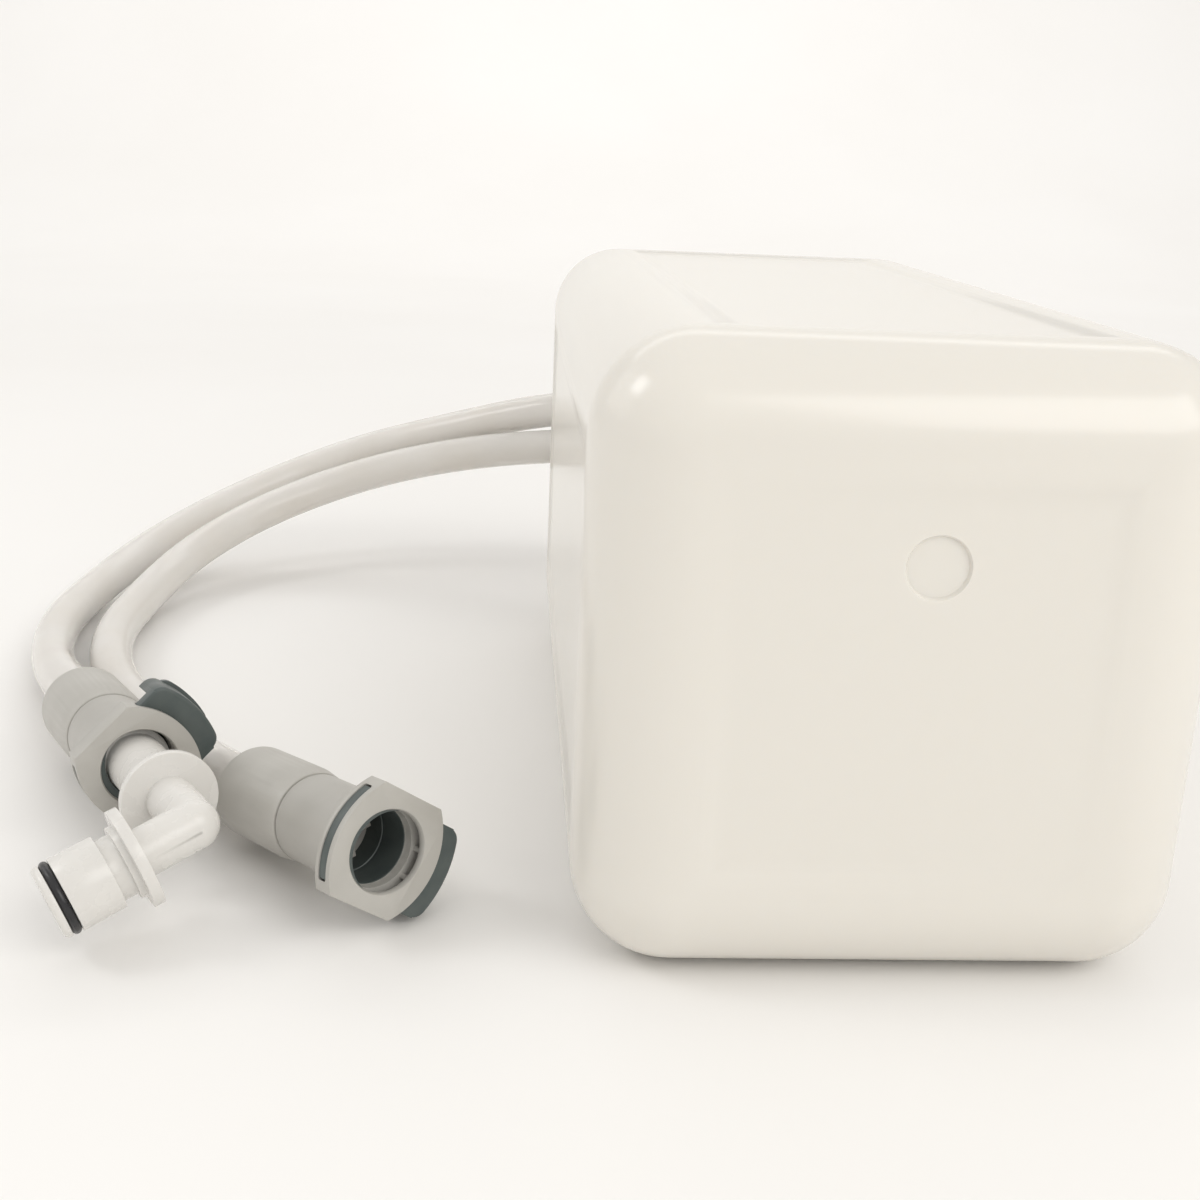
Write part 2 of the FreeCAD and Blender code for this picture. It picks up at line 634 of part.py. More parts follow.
def elbow_insert():
    side, up, out = elbow_frame()
    leg_axes = (up.cross(out) * 1.0, up, out)
    corner = V(0, 0, LEG_ONE)
    body = inserted_leg().fuse([placed(free_leg(), corner, leg_axes), Part.makeSphere(ELBOW_R, corner)])
    bore_one = Part.makeCylinder(ELBOW_BORE, INSERT_IN + LEG_ONE, V(0, 0, -INSERT_IN))
    bore_two = placed(Part.makeCylinder(ELBOW_BORE, LEG_TWO, V(0, 0, 0)), corner, leg_axes)
    return body.cut(bore_one.fuse([bore_two, Part.makeSphere(ELBOW_BORE, corner)]))


def insert_ring_free():
    side, up, out = elbow_frame()
    z = LEG_TWO - 2.2 - RING_R - 0.1
    torus = ring(RING_SEAT + RING_R, RING_R, z)
    return placed(torus, V(0, 0, LEG_ONE), (up.cross(out), up, out))


def insert_ring_held():
    return ring(RING_SEAT + RING_R, RING_R, -INSERT_IN + 2.2 + RING_R + 0.1)


# ---- build ----

def build_coupling(suffix, at, aim, valve_back):
    axes = coupling_axes(aim)
    pieces = {
        "coupling_body": coupling_body(),
        "hose_sleeve": hose_sleeve(),
        "hose_tail": hose_tail(),
        "latch": latch(),
        "latch_spring": latch_spring(),
        "valve_poppet": valve_poppet(valve_back),
        "poppet_seal": poppet_seal(valve_back),
        "valve_spring": valve_spring(valve_back),
    }
    for name, shape in pieces.items():
        export("%s_%s" % (name, suffix), placed(shape, at, axes))


def main():
    os.makedirs("parts", exist_ok=True)
    for name, band in tank_bands().items():
        export(name, band)
    export("tank_neck", tank_neck())
    export("screw_collar", screw_collar())
    export("slip_washer", slip_washer())
    export("closure_gasket", closure_gasket())
    export("port_plate", port_plate())
    for name, z, tilt in (("suction", PORT_OFFSET, SUCTION_TILT), ("return", -PORT_OFFSET, 0.0)):
        export(name + "_elbow", port_elbow(z, tilt))
        export(name + "_washer", port_washer(z))
        export(name + "_nut", port_nut(z))
        export(name + "_clamp", hose_clamp(z, tilt))
    export("vent_body", vent_body())
    export("vent_flap", vent_flap())
    export("dip_tube", dip_tube())
    export("foot_strainer", foot_strainer())
    build_coupling("open", OPEN_AT, OPEN_AIM, 0.0)
    build_coupling("held", HELD_AT, HELD_AIM, INSERT_OPENS)
    held_axes = coupling_axes(HELD_AIM)
    export("elbow_insert", placed(elbow_insert(), HELD_AT, held_axes))
    export("insert_ring_free", placed(insert_ring_free(), HELD_AT, held_axes))
    export("insert_ring_held", placed(insert_ring_held(), HELD_AT, held_axes))
    export("hose_open", hose("hose_open", route(OPEN_AT, OPEN_AIM, OPEN_ROUTE, -PORT_OFFSET, 0.0, 0.0)))
    export("hose_held", hose("hose_held", route(HELD_AT, HELD_AIM, HELD_ROUTE, PORT_OFFSET, SUCTION_TILT, 1.0)))


main()
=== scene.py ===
"""Fresh water tank lying on its side, with two clear hoses and quick-disconnect couplings."""
import json
import math
import bpy
import bmesh
from mathutils import Matrix, Vector


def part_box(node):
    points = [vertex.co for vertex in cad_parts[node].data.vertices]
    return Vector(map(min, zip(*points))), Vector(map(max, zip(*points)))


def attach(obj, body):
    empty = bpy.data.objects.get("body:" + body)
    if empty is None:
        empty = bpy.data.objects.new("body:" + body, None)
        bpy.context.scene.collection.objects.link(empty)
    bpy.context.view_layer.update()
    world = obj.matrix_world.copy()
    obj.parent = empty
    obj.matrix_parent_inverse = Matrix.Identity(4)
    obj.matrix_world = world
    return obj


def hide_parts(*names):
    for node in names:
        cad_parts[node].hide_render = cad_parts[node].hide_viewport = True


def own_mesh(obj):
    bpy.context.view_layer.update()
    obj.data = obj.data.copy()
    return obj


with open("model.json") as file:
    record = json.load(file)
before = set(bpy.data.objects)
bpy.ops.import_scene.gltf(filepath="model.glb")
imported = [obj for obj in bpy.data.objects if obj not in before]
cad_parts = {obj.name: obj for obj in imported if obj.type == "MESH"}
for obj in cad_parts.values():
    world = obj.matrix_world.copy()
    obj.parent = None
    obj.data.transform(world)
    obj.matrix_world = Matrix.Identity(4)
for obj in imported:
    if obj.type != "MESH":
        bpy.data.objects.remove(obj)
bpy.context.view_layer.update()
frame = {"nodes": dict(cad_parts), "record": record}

MM = 0.001

# ---- sizes shared by the pieces, in metres ----
TANK_LOW, TANK_HIGH = [Vector(corner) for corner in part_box("tank_walls")]
TANK_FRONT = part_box("tank_end")[0][1]
GASKET_LOW, GASKET_HIGH = [Vector(corner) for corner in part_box("closure_gasket")]
EDGE_R = 28.5 * MM
WALL = 3.0 * MM
PANEL_DEPTH = 1.15 * MM
WALL_AT_PANEL = WALL + 1.2 * MM
# each step of a sunken panel's soft edge: how far in, how deep
PANEL_STEPS = [(4 * MM, 0.05 * MM), (2 * MM, 0.25 * MM), (2 * MM, 0.45 * MM), (2 * MM, 0.3 * MM),
               (3 * MM, 0.1 * MM)]
PANEL_MIN_AREA = 0.004
NECK_TOP = GASKET_LOW.y
NECK_LENGTH = 29.0 * MM
NECK_ROOT = 4.0 * MM
NECK_EDGE = 0.6 * MM
NECK_R = (GASKET_HIGH.x - GASKET_LOW.x) / 2
NECK_BORE = NECK_R - 4.0 * MM
GATE_AT = Vector((3.0, 0, 124.0)) * MM
GATE_R = 8.9 * MM
GATE_DEPTH = 1.1 * MM
TANK_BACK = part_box("tank_shoulder")[1][1]
NECK_Z = (GASKET_LOW.z + GASKET_HIGH.z) / 2
HOSE_R = 8.75 * MM
HOSE_BORE = 6.35 * MM

# ---- camera ----
CAMERA_AT = Vector((-0.10907, -0.54828, 0.22292))
CAMERA_YAW, CAMERA_PITCH, CAMERA_ROLL = 3.91, 16.48, 2.51
CAMERA_LENS = 45.48

# ---- couplings: mouth centre and aim, as the joints have them ----
COUPLINGS = {
    "open": (Vector((-139.9, -145.9, 25.95)) * MM, (37.0, 6.8, -35.7)),
    "held": (Vector((-223.2, -88.8, 26.7)) * MM, (27.6, 4.5, 40.0)),
}
HOSE_STOP = 59.5 * MM
VALVE_BACK = {"open": 0.0, "held": 4.1 * MM}
SPRING_R = 5.6 * MM
SPRING_WIRE = 0.9 * MM
SPRING_FOOT = -53.0 * MM
SPRING_HEAD = -37.0 * MM
SPRING_TURNS = 7

# ---- latch spring strip, in the coupling's frame ----
STRIP_X = 14.7 * MM
STRIP_HALF = 6.6 * MM
STRIP_Z = (-2.65 * MM, -5.0 * MM)
STRIP_BOW = 1.7 * MM
STRIP_WAVE = 0.45 * MM
STRIP_WAVES = 5
STRIP_T = 0.35 * MM

# ---- painted shade: a dark sleeve that stands for the shaded inside of the bore: (radius, height) in the coupling's frame, in millimetres ----
SHADE_SLEEVE_PROFILE = [(11.92, -9.4), (11.92, -21.5), (11.57, -21.7), (11.57, -29.8), (11.42, -29.8), (11.42, -21.4),
                 (11.74, -21.2), (11.74, -9.6)]
MOULDED_EDGE = 0.25 * MM

# ---- hose routes from the port to the coupling, in millimetres ----
PORT_Y = 239.0
HOSE_ROUTES = {
    "open": [(-20, PORT_Y, 75.5), (-50, PORT_Y, 75.5), (-72, 240, 74), (-124, 249, 67.5), (-178, 262, 53),
             (-230, 247, 35.5), (-265, 210, 20), (-279, 154, 10.2), (-280, 98, 9.2), (-266, 43, 9.2),
             (-238, -8, 9.6)],
    "held": [(-19.56, PORT_Y, 101.34), (-48.91, PORT_Y, 95.1), (-88, 250, 91), (-137, 273, 75), (-192, 284, 58),
             (-247, 266, 37), (-287, 226, 19.5), (-304, 170, 10.4), (-307, 116, 9.4), (-297, 66, 9.6)],
}


# ---- working by hand: selection and edit mode ----

def nothing_selected():
    if bpy.context.mode != "OBJECT":
        bpy.ops.object.mode_set(mode="OBJECT")
    bpy.ops.object.select_all(action="DESELECT")


def only(piece):
    nothing_selected()
    piece.select_set(True)
    bpy.context.view_layer.objects.active = piece
    return piece


def named(name):
    piece = bpy.context.object
    piece.name = name
    piece.data.name = name
    return piece


def settle(piece):
    """Puts the piece's place, turn and size into its mesh."""
    only(piece)
    bpy.ops.object.transform_apply(location=True, rotation=True, scale=True)
    return piece


def with_modifier(piece, kind, **settings):
    only(piece)
    modifier = piece.modifiers.new(kind.lower(), kind)
    for key, value in settings.items():
        setattr(modifier, key, value)
    bpy.ops.object.modifier_apply(modifier=modifier.name)
    return piece


def cut_away(piece, tool, operation="DIFFERENCE"):
    with_modifier(piece, "BOOLEAN", object=tool, operation=operation, solver="EXACT")
    bpy.data.objects.remove(tool, do_unlink=True)
    return piece


def faces_where(piece, test):
    """Selects the faces whose centre and normal pass the test, in edit mode."""
    only(piece)
    bpy.ops.object.mode_set(mode="EDIT")
    bpy.ops.mesh.select_mode(type="FACE")
    bpy.ops.mesh.select_all(action="DESELECT")
    mesh = bmesh.from_edit_mesh(piece.data)
    for face in mesh.faces:
        if test(face.calc_center_median(), face.normal, face):
            face.select_set(True)
    bmesh.update_edit_mesh(piece.data)


def smooth(piece, angle=35):
    only(piece)
    bpy.ops.object.shade_smooth_by_angle(angle=math.radians(angle))
    return piece


def piece_from(name, mesh):
    """A new object that holds the finished bmesh."""
    data = bpy.data.meshes.new(name)
    mesh.to_mesh(data)
    mesh.free()
    piece = bpy.data.objects.new(name, data)
    bpy.context.scene.collection.objects.link(piece)
    return piece


def finished(piece, body, material, slot, *nodes):
    """Gives the piece its material, hangs it on the body it rides on and hides the CAD parts it stands for."""
    piece.data.materials.clear()
    piece.data.materials.append(material)
    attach(piece, body)
    if nodes:
        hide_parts(*nodes)
    return piece


def lathe(name, profile):
    """A closed ring drawn out from a circle by extruding and scaling, about Z."""
    nothing_selected()
    radius, height = profile[0]
    bpy.ops.mesh.primitive_circle_add(vertices=96, radius=radius, location=(0, 0, height))
    piece = settle(named(name))
    bpy.ops.object.mode_set(mode="EDIT")
    bpy.ops.mesh.select_mode(type="VERT")
    bpy.ops.mesh.select_all(action="SELECT")
    for next_radius, next_height in list(profile[1:]) + [profile[0]]:
        bpy.ops.mesh.extrude_region_move(TRANSFORM_OT_translate={"value": (0, 0, next_height - height)})
        factor = next_radius / radius
        bpy.ops.transform.resize(value=(factor, factor, 1), center_override=(0, 0, next_height))
        radius, height = next_radius, next_height
    bpy.ops.mesh.select_all(action="SELECT")
    bpy.ops.mesh.remove_doubles(threshold=1e-6)
    bpy.ops.mesh.normals_make_consistent(inside=False)
    bpy.ops.object.mode_set(mode="OBJECT")
    return piece


def merged_copy(node, name):
    """A welded copy of a CAD piece, ready for bevels and smooth shading."""
    source = frame["nodes"][node]
    piece = bpy.data.objects.new(name, source.data.copy())
    piece.data.name = name
    bpy.context.scene.collection.objects.link(piece)
    only(piece)
    bpy.ops.object.mode_set(mode="EDIT")
    bpy.ops.mesh.select_all(action="SELECT")
    bpy.ops.mesh.remove_doubles(threshold=2e-6)
    bpy.ops.mesh.dissolve_limited(angle_limit=math.radians(0.5))
    bpy.ops.object.mode_set(mode="OBJECT")
    return piece


# ---- materials ----

class Finish:
    """A node material with a Principled surface and helpers for grain and tint."""

    def __init__(self, name, colour, roughness, **sockets):
        self.material = bpy.data.materials.new(name)
        self.material.use_nodes = True
        self.tree = self.material.node_tree
        self.surface = self.tree.nodes["Principled BSDF"]
        self.surface.inputs["Base Color"].default_value = (*colour, 1)
        self.surface.inputs["Roughness"].default_value = roughness
        for socket, value in sockets.items():
            self.surface.inputs[socket.replace("_", " ")].default_value = value
        self.place = self.tree.nodes.new("ShaderNodeTexCoord")

    def noise(self, scale, detail=4.0, stretch=(1, 1, 1)):
        mapping = self.tree.nodes.new("ShaderNodeMapping")
        mapping.inputs["Scale"].default_value = stretch
        texture = self.tree.nodes.new("ShaderNodeTexNoise")
        texture.inputs["Scale"].default_value = scale
        texture.inputs["Detail"].default_value = detail
        self.tree.links.new(self.place.outputs["Object"], mapping.inputs["Vector"])
        self.tree.links.new(mapping.outputs["Vector"], texture.inputs["Vector"])
        return texture.outputs["Fac"]

    def ramp(self, value, low, high, first, last):
        ramp = self.tree.nodes.new("ShaderNodeValToRGB")
        ramp.color_ramp.elements[0].position = low
        ramp.color_ramp.elements[1].position = high
        ramp.color_ramp.elements[0].color = first
        ramp.color_ramp.elements[1].color = last
        self.tree.links.new(value, ramp.inputs["Fac"])
        return ramp.outputs["Color"]

    def mottle(self, scale, first, last, low=0.35, high=0.65, detail=4.0):
        """Slow changes of colour over the surface."""
        colour = self.ramp(self.noise(scale, detail), low, high, (*first, 1), (*last, 1))
        self.tree.links.new(colour, self.surface.inputs["Base Color"])
        return self

    def worn(self, scale, low, high):
        """Roughness that varies with handling."""
        shade = self.ramp(self.noise(scale, 5.0), 0.3, 0.7, (low, low, low, 1), (high, high, high, 1))
        self.tree.links.new(shade, self.surface.inputs["Roughness"])
        return self

    def grain(self, *layers, detail=3.0):
        """Bump layers: (noise scale, strength, height in metres)."""
        normal = None
        for scale, strength, height in layers:
            bump = self.tree.nodes.new("ShaderNodeBump")
            bump.inputs["Strength"].default_value = strength
            bump.inputs["Distance"].default_value = height
            self.tree.links.new(self.noise(scale, detail), bump.inputs["Height"])
            if normal:
                self.tree.links.new(normal, bump.inputs["Normal"])
            normal = bump.outputs["Normal"]
        self.tree.links.new(normal, self.surface.inputs["Normal"])
        return self


def make_finishes():
    shell = Finish("natural_polyethylene", (0.76, 0.733, 0.678), 0.2, IOR=1.5, Subsurface_Weight=0.3,
                   Subsurface_Scale=0.003, Subsurface_Radius=(1.0, 0.92, 0.8))
    shell.grain((8.0, 0.16, 0.002), (900.0, 0.05, 0.00006), detail=1.0)
    vinyl = Finish("clear_vinyl", (0.98, 0.965, 0.94), 0.1, IOR=1.36, Transmission_Weight=0.42)
    vinyl.mottle(30.0, (0.955, 0.925, 0.88), (0.985, 0.965, 0.935)).worn(120.0, 0.06, 0.16)
    vinyl.grain((90.0, 0.15, 0.0002))
    grey = Finish("grey_acetal", (0.45, 0.437, 0.405), 0.4, IOR=1.48)
    grey.mottle(70.0, (0.435, 0.422, 0.39), (0.47, 0.457, 0.425)).worn(140.0, 0.34, 0.48)
    grey.grain((260.0, 0.12, 0.0002), (2600.0, 0.2, 0.00006))
    slate = Finish("slate_nylon", (0.08, 0.098, 0.095), 0.42, IOR=1.5)
    slate.mottle(120.0, (0.072, 0.09, 0.088), (0.092, 0.11, 0.106)).worn(160.0, 0.36, 0.5)
    slate.grain((3000.0, 0.3, 0.00006))
    white = Finish("white_polypropylene", (0.71, 0.695, 0.665), 0.26, IOR=1.49, Subsurface_Weight=0.2,
                   Subsurface_Scale=0.0015, Subsurface_Radius=(1.0, 0.95, 0.9))
    white.mottle(60.0, (0.7, 0.685, 0.655), (0.725, 0.71, 0.68)).worn(150.0, 0.2, 0.32)
    white.grain((240.0, 0.06, 0.0002),)
    rubber = Finish("black_rubber", (0.012, 0.012, 0.014), 0.3)
    rubber.mottle(200.0, (0.01, 0.01, 0.012), (0.018, 0.018, 0.02)).worn(400.0, 0.24, 0.4)
    rubber.grain((2200.0, 0.2, 0.00005))
    steel = Finish("spring_steel", (0.75, 0.75, 0.73), 0.16, Metallic=1.0)
    steel.mottle(300.0, (0.7, 0.7, 0.68), (0.82, 0.81, 0.78)).worn(900.0, 0.08, 0.24)
    steel.grain((1800.0, 0.15, 0.00004))
    return {"shell": shell.material, "clear_hose": vinyl.material, "grey_plastic": grey.material,
            "slate_plastic": slate.material, "white_plastic": white.material, "slip_plastic": white.material,
            "rubber": rubber.material, "steel": steel.material}


FINISHES = make_finishes()
SLOTS = {entry["node"]: entry["material_slot"] for entry in frame["record"]["subparts"]}
BODY_OF = {node: body for body, nodes in frame["record"]["behaviour"]["bodies"].items() for node in nodes}


# ---- camera, light and floor ----

def make_camera():
    yaw, pitch, roll = [math.radians(value) for value in (CAMERA_YAW, CAMERA_PITCH, CAMERA_ROLL)]
    ahead = Vector((math.sin(yaw) * math.cos(pitch), math.cos(yaw) * math.cos(pitch), -math.sin(pitch)))
    right = Vector((math.cos(yaw), -math.sin(yaw), 0))
    up = right.cross(ahead)
    turned_right = right * math.cos(roll) + up * math.sin(roll)
    turned_up = up * math.cos(roll) - right * math.sin(roll)
    camera = bpy.data.objects.new("camera", bpy.data.cameras.new("camera"))
    bpy.context.scene.collection.objects.link(camera)
    matrix = Matrix((turned_right, turned_up, -ahead)).transposed().to_4x4()
    matrix.translation = CAMERA_AT
    camera.matrix_world = matrix
    camera.data.lens = CAMERA_LENS
    camera.data.clip_start = 0.01
    bpy.context.scene.camera = camera


def soft_light(name, at, look, size, radiance, colour=(1, 1, 1)):
    """A rectangular softbox of the given brightness."""
    light = bpy.data.lights.new(name, "AREA")
    light.shape = "RECTANGLE"
    light.size, light.size_y = size
    light.energy = radiance * math.pi * size[0] * size[1]
    light.color = colour
    lamp = bpy.data.objects.new(name, light)
    bpy.context.scene.collection.objects.link(lamp)
    lamp.location = at
    lamp.rotation_euler = (Vector(look) - Vector(at)).to_track_quat("-Z", "Y").to_euler()


def make_stage():
    """A pale paper sweep: flat floor that curves up far behind the tank."""
    nothing_selected()
    bpy.ops.mesh.primitive_plane_add(size=1, location=(0, -0.6, -0.0004))
    floor = named("paper_sweep")
    bpy.ops.transform.resize(value=(9, 5.6, 1))
    settle(floor)
    bpy.ops.object.mode_set(mode="EDIT")
    bpy.ops.mesh.select_mode(type="EDGE")
    bpy.ops.mesh.select_all(action="DESELECT")
    mesh = bmesh.from_edit_mesh(floor.data)
    for edge in mesh.edges:
        if all(vertex.co.y > 2.1 for vertex in edge.verts):
            edge.select_set(True)
    bmesh.update_edit_mesh(floor.data)
    bpy.ops.mesh.spin(steps=24, angle=math.radians(-90), center=(0, 2.2, 1.6), axis=(1, 0, 0))
    bpy.ops.mesh.extrude_region_move(TRANSFORM_OT_translate={"value": (0, 0, 1.5)})
    bpy.ops.object.mode_set(mode="OBJECT")
    smooth(floor, 60)
    paper = Finish("paper", (0.88, 0.868, 0.85), 0.7)
    paper.mottle(1.5, (0.87, 0.857, 0.838), (0.89, 0.88, 0.865))
    floor.data.materials.append(paper.material)
    world = bpy.data.worlds.new("studio")
    bpy.context.scene.world = world
    world.use_nodes = True
    world.node_tree.nodes["Background"].inputs["Color"].default_value = (1.0, 0.982, 0.955, 1)
    world.node_tree.nodes["Background"].inputs["Strength"].default_value = 0.77
    soft_light("front_softbox", (1.0, -1.35, 1.35), (0, -0.1, 0.1), (1.7, 1.1), 2.7, (1.0, 0.985, 0.96))
    soft_light("backdrop_softbox", (0, 2.4, 2.3), (0, 3.0, 0.4), (4.0, 1.4), 1.2)
    soft_light("side_softbox", (-1.6, 0.3, 0.9), (-0.1, 0.05, 0.08), (1.2, 0.9), 0.7)
    soft_light("side_lamp", (-1.3, -0.12, 1.15), (-0.08, -0.16, 0.15), (0.42, 0.42), 5.0)
    bpy.context.scene.view_settings.view_transform = "Standard"


# ---- hoses ----

def coupling_axes(aim):
    """Latch direction, side direction and outward axis of a coupling."""
    heading, lift, roll = [math.radians(value) for value in aim]
    axis = Vector((math.sin(heading) * math.cos(lift), -math.cos(heading) * math.cos(lift), math.sin(lift)))
    side = Vector((0, 0, 1)).cross(axis).normalized()
    up = axis.cross(side)
    return side * math.cos(roll) + up * math.sin(roll), up * math.cos(roll) - side * math.sin(roll), axis


def coupling_matrix(which):
    at, aim = COUPLINGS[which]
    matrix = Matrix(coupling_axes(aim)).transposed().to_4x4()
    matrix.translation = at
    return matrix


def hose_line(which):
    """The hose's centreline: a NURBS spline on the points of its route."""
    at, aim = COUPLINGS[which]
    axis = coupling_axes(aim)[2]
    points = [Vector(point) * MM for point in HOSE_ROUTES[which]]
    points += [at - axis * (HOSE_STOP + 52 * MM), at - axis * HOSE_STOP]
    curve = bpy.data.curves.new("hose_line_" + which, "CURVE")
    curve.dimensions = "3D"
    curve.resolution_u = 12
    spline = curve.splines.new("NURBS")
    spline.points.add(len(points) - 1)
    for place, point in zip(spline.points, points):
        place.co = (*point, 1)
    spline.order_u = 3
    spline.use_endpoint_u = True
    guide = bpy.data.objects.new("hose_line_" + which, curve)
    bpy.context.scene.collection.objects.link(guide)
    bpy.context.view_layer.update()
    mesh = bpy.data.meshes.new_from_object(guide.evaluated_get(bpy.context.evaluated_depsgraph_get()))
    line = [vertex.co.copy() for vertex in mesh.vertices]
    bpy.data.meshes.remove(mesh)
    bpy.data.objects.remove(guide, do_unlink=True)
    return line


def sweep_rings(line, radii, sides):
    """Rings of points carried along the line without twisting."""
    ahead = (line[1] - line[0]).normalized()
    out = ahead.orthogonal().normalized()
    rings = []
    for k, point in enumerate(line):
        nearby = line[min(k + 1, len(line) - 1)] - line[max(k - 1, 0)]
        turn = ahead.rotation_difference(nearby.normalized())
        ahead = nearby.normalized()
        out = turn @ out
        side = ahead.cross(out)
        for radius in radii:
            rings.append([point + (out * math.cos(a) + side * math.sin(a)) * radius
                          for a in (2 * math.pi * j / sides for j in range(sides))])
    return rings


def make_hose(which):
    """A thick-walled tube: outer skin, bore and the two cut ends."""
    line = hose_line(which)
    sides = 48
    rings = sweep_rings(line, (HOSE_R, HOSE_BORE), sides)
    mesh = bmesh.new()
    verts = [[mesh.verts.new(point) for point in ring] for ring in rings]
    outer, inner = verts[0::2], verts[1::2]
    for k in range(len(line) - 1):
        for j in range(sides):
            n = (j + 1) % sides
            mesh.faces.new((outer[k][j], outer[k][n], outer[k + 1][n], outer[k + 1][j]))
            mesh.faces.new((inner[k][n], inner[k][j], inner[k + 1][j], inner[k + 1][n]))
    for j in range(sides):
        n = (j + 1) % sides
        mesh.faces.new((outer[0][n], outer[0][j], inner[0][j], inner[0][n]))
        mesh.faces.new((outer[-1][j], outer[-1][n], inner[-1][n], inner[-1][j]))
    bmesh.ops.recalc_face_normals(mesh, faces=mesh.faces)
    hose = piece_from("clear_hose_" + which, mesh)
    smooth(hose, 60)
    finished(hose, "tank", FINISHES["clear_hose"], "clear_hose", "hose_" + which)
    return hose, line


def declare_hose(which, shade_sleeve):
    on_it = [frame["nodes"][n] if n not in NEW_FOR else NEW_FOR[n] for n in SLOTS
             if n.endswith("_" + which) and n != "hose_" + which] + [shade_sleeve]
    if which == "held":
        on_it += [NEW_FOR.get(n, frame["nodes"][n]) for n in ("elbow_insert", "insert_ring_free")]


# ---- tank ----

def rounded_block(name, low, high, radius, segments):
    nothing_selected()
    middle, size = (low + high) / 2, high - low
    bpy.ops.mesh.primitive_cube_add(size=1, location=middle, scale=size)
    block = settle(named(name))
    bpy.ops.object.mode_set(mode="EDIT")
    bpy.ops.mesh.select_all(action="SELECT")
    bpy.ops.mesh.bevel(offset=radius, offset_type="OFFSET", segments=segments, profile=0.5, affect="EDGES")
    bpy.ops.object.mode_set(mode="OBJECT")
    return block


def sink_panel(block, axis, sign, steps):
    """Insets the flat of one side in steps of (inset, depth)."""
    def is_panel(centre, normal, face):
        return normal[axis] * sign > 0.9999 and face.calc_area() > PANEL_MIN_AREA
    faces_where(block, is_panel)
    for inset, depth in steps:
        bpy.ops.mesh.inset(thickness=inset, depth=-depth)
    bpy.ops.object.mode_set(mode="OBJECT")


def make_neck():
    """The neck as a thick ring, rooted in the tank's back wall."""
    bore = NECK_BORE / 2
    neck = lathe("neck", [(NECK_R, 0), (NECK_R, NECK_LENGTH - 1 * MM), (NECK_R - NECK_EDGE, NECK_LENGTH),
                          (bore, NECK_LENGTH), (bore, -NECK_ROOT), (NECK_R, -NECK_ROOT)])
    neck.matrix_world = (Matrix.Translation((0, NECK_TOP, NECK_Z)) @ Matrix.Rotation(-math.pi / 2, 4, "X")
                         @ Matrix.Translation((0, 0, -NECK_LENGTH)))
    return settle(neck)


def make_gate_dimple():
    """The tool for the round moulding mark on the closed end."""
    nothing_selected()
    bpy.ops.mesh.primitive_cone_add(vertices=64, radius1=GATE_R - 0.7 * MM, radius2=GATE_R + 0.6 * MM,
                                    depth=2 * GATE_DEPTH)
    dimple = named("gate_dimple")
    dimple.matrix_world = (Matrix.Translation((GATE_AT.x, TANK_FRONT + PANEL_DEPTH, GATE_AT.z))
                           @ Matrix.Rotation(math.pi / 2, 4, "X"))
    return settle(dimple)


def make_tank():
    """Rounded hollow box with soft sunken panels, its neck and the moulding mark."""
    low = Vector((TANK_LOW.x, TANK_FRONT, TANK_LOW.z))
    high = Vector((TANK_HIGH.x, TANK_BACK, TANK_HIGH.z))
    tank = rounded_block("tank_skin", low, high, EDGE_R, 14)
    for axis, sign in ((1, -1), (0, -1), (0, 1), (2, 1)):
        sink_panel(tank, axis, sign, PANEL_STEPS)
    wall = Vector([WALL_AT_PANEL] * 3)
    inner = rounded_block("tank_inner", low + wall, high - wall, EDGE_R - WALL, 10)
    neck = make_neck()
    nothing_selected()
    bpy.ops.mesh.primitive_cylinder_add(vertices=96, radius=NECK_BORE, depth=0.08,
                                        location=(0, TANK_BACK, NECK_Z), rotation=(math.pi / 2, 0, 0))
    passage = settle(named("passage"))
    cut_away(tank, neck, "UNION")
    cut_away(tank, inner)
    cut_away(tank, passage)
    cut_away(tank, make_gate_dimple())
    only(tank)
    bpy.ops.object.mode_set(mode="EDIT")
    bpy.ops.mesh.select_mode(type="VERT")
    bpy.ops.mesh.select_all(action="SELECT")
    bpy.ops.mesh.remove_doubles(threshold=2e-5)
    bpy.ops.mesh.dissolve_degenerate(threshold=2e-5)
    bpy.ops.object.mode_set(mode="OBJECT")
    smooth(tank, 30)
    return finished(tank, "tank", FINISHES["shell"], "shell", "tank_end", "tank_walls", "tank_shoulder",
                    "tank_neck")


# ---- springs ----

def wire_piece(name, line, radius, sides=12):
    """Round wire along a line, closed at both ends."""
    rings = sweep_rings(line, (radius,), sides)
    mesh = bmesh.new()
    verts = [[mesh.verts.new(point) for point in ring] for ring in rings]
    for first, second in zip(verts, verts[1:]):
        for j in range(sides):
            n = (j + 1) % sides
            mesh.faces.new((first[j], first[n], second[n], second[j]))
    mesh.faces.new(verts[0])
    mesh.faces.new(verts[-1])
    bmesh.ops.recalc_face_normals(mesh, faces=mesh.faces)
    return smooth(piece_from(name, mesh), 50)


def make_valve_spring(which):
    """A coil with closed ends between the valve head and the tail."""
    place = coupling_matrix(which)
    wire = SPRING_WIRE / 2
    foot, top = SPRING_FOOT + wire, SPRING_HEAD - VALVE_BACK[which] - wire
    turns, steps = SPRING_TURNS, 28
    line = []
    for k in range(turns * steps + 1):
        share = k / (turns * steps)
        rise = min(max((share - 1 / turns) / (1 - 2 / turns), 0), 1)
        closed = min(share * turns, 1) + max(share * turns - turns + 1, 0)
        height = foot + (top - foot - 2 * SPRING_WIRE) * rise + SPRING_WIRE * closed
        angle = 2 * math.pi * k / steps
        line.append(place @ Vector(((SPRING_R - wire) * math.cos(angle), (SPRING_R - wire) * math.sin(angle),
                                    height)))
    coil = wire_piece("valve_coil_" + which, line, wire * 0.96)
    finished(coil, "tank", FINISHES["steel"], "steel", "valve_spring_" + which)
    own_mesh(coil)
    return coil


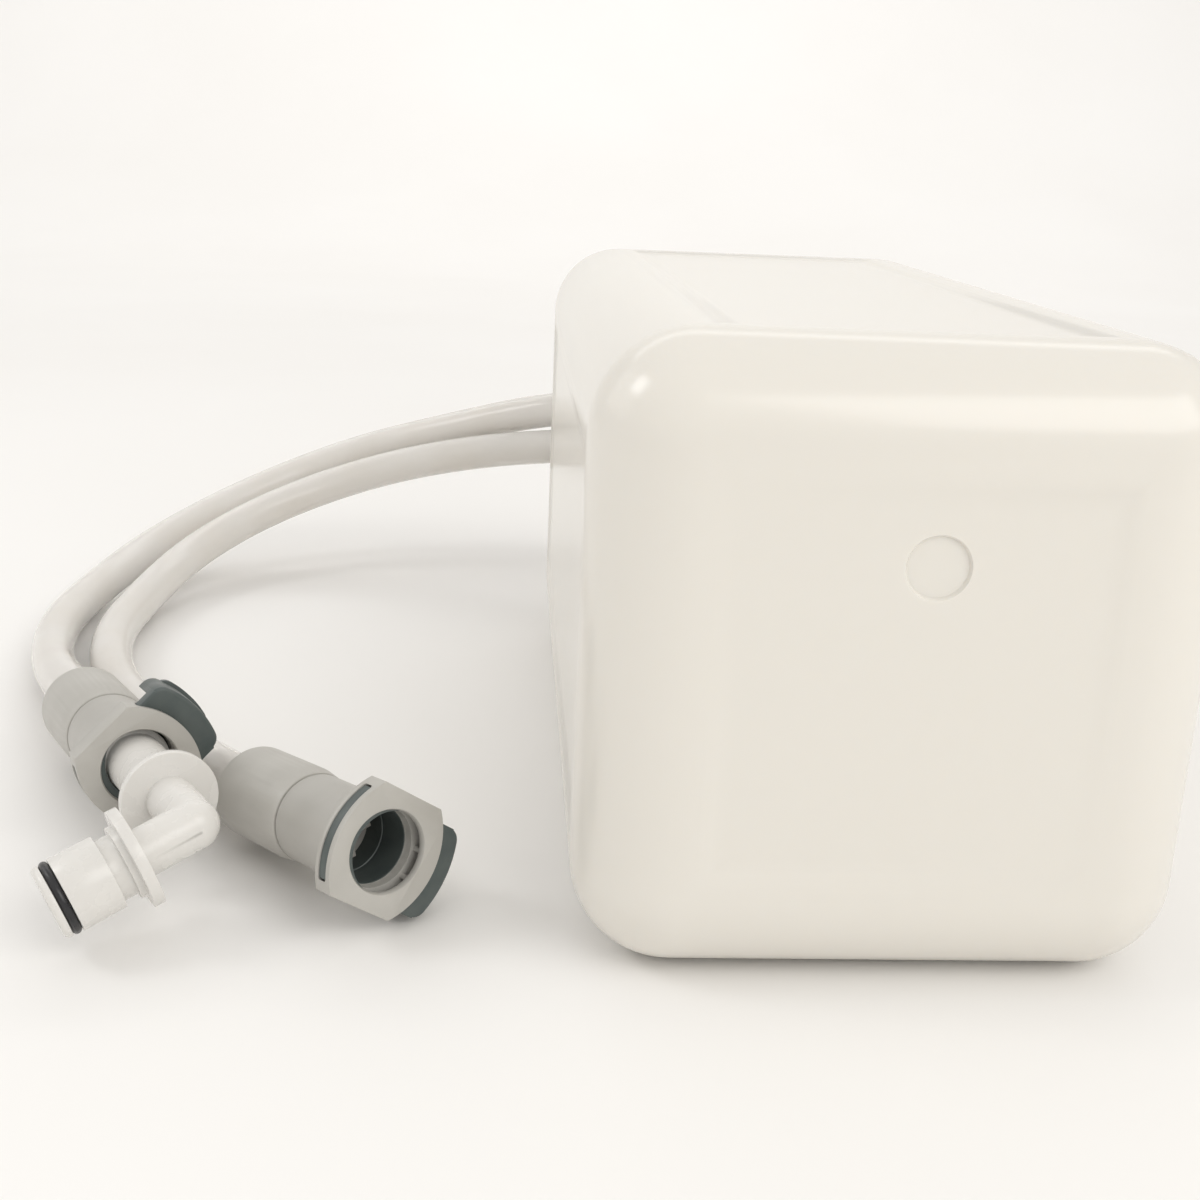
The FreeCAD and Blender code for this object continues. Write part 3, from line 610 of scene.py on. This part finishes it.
def make_latch_spring(which):
    """A crimped spring strip between the posts and the latch, seen inside the mouth."""
    place = coupling_matrix(which)
    steps = 8
    mesh = bmesh.new()
    rows = []
    for k in range(STRIP_WAVES * steps + 1):
        share = k / (STRIP_WAVES * steps)
        bow = STRIP_BOW * (1 - (2 * share - 1) ** 2)
        x = STRIP_X + bow + STRIP_WAVE * math.cos(2 * math.pi * STRIP_WAVES * share)
        y = STRIP_HALF * (2 * share - 1)
        rows.append([mesh.verts.new(place @ Vector((x, y, z))) for z in STRIP_Z])
    for first, second in zip(rows, rows[1:]):
        mesh.faces.new((first[0], second[0], second[1], first[1]))
    strip = piece_from("latch_strip_" + which, mesh)
    with_modifier(strip, "SOLIDIFY", thickness=STRIP_T, offset=0)
    with_modifier(strip, "BEVEL", width=0.06 * MM, segments=1, limit_method="ANGLE",
                  angle_limit=math.radians(50))
    smooth(strip, 45)
    finished(strip, "tank", FINISHES["steel"], "steel", "latch_spring_" + which)
    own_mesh(strip)
    return strip


def make_painted_shade_sleeve(which):
    """Painted shade: a dark slate sleeve behind the mouth, stepped as the bore is, standing for the shade
    inside the bore.
    """
    shade_sleeve = lathe("painted_shade_sleeve_" + which, [(radius * MM, height * MM) for radius, height in SHADE_SLEEVE_PROFILE])
    shade_sleeve.matrix_world = coupling_matrix(which)
    settle(shade_sleeve)
    smooth(shade_sleeve, 40)
    return finished(shade_sleeve, "tank", FINISHES["slate_plastic"], "slate_plastic")


# ---- pieces carried over from the frame ----

NEW_FOR = {}


def refine(node, bevel, angle=32):
    """A welded, softly bevelled copy of a moulded CAD piece."""
    piece = merged_copy(node, node + "_moulded")
    if bevel:
        with_modifier(piece, "BEVEL", width=bevel, segments=2, limit_method="ANGLE",
                      angle_limit=math.radians(angle), use_clamp_overlap=True, harden_normals=False)
    smooth(piece, angle)
    finished(piece, BODY_OF[node], FINISHES[SLOTS[node]], SLOTS[node], node)
    NEW_FOR[node] = piece
    return piece


def main():
    make_camera()
    hoses = {which: make_hose(which) for which in ("open", "held")}
    make_stage()
    make_tank()
    done = {"tank_end", "tank_walls", "tank_shoulder", "tank_neck", "hose_open", "hose_held"}
    shade_sleeves = {}
    for which in ("open", "held"):
        NEW_FOR["valve_spring_" + which] = make_valve_spring(which)
        NEW_FOR["latch_spring_" + which] = make_latch_spring(which)
        # painted shade: a dark sleeve in each bore stands for the shade inside the mouth
        shade_sleeves[which] = make_painted_shade_sleeve(which)
        done.update(("valve_spring_" + which, "latch_spring_" + which))
    for node in SLOTS:
        if node in done:
            continue
        moulded = SLOTS[node] in ("grey_plastic", "slate_plastic", "white_plastic")
        refine(node, MOULDED_EDGE if moulded else 0)
    for which, (hose, line) in hoses.items():
        declare_hose(which, shade_sleeves[which])


main()
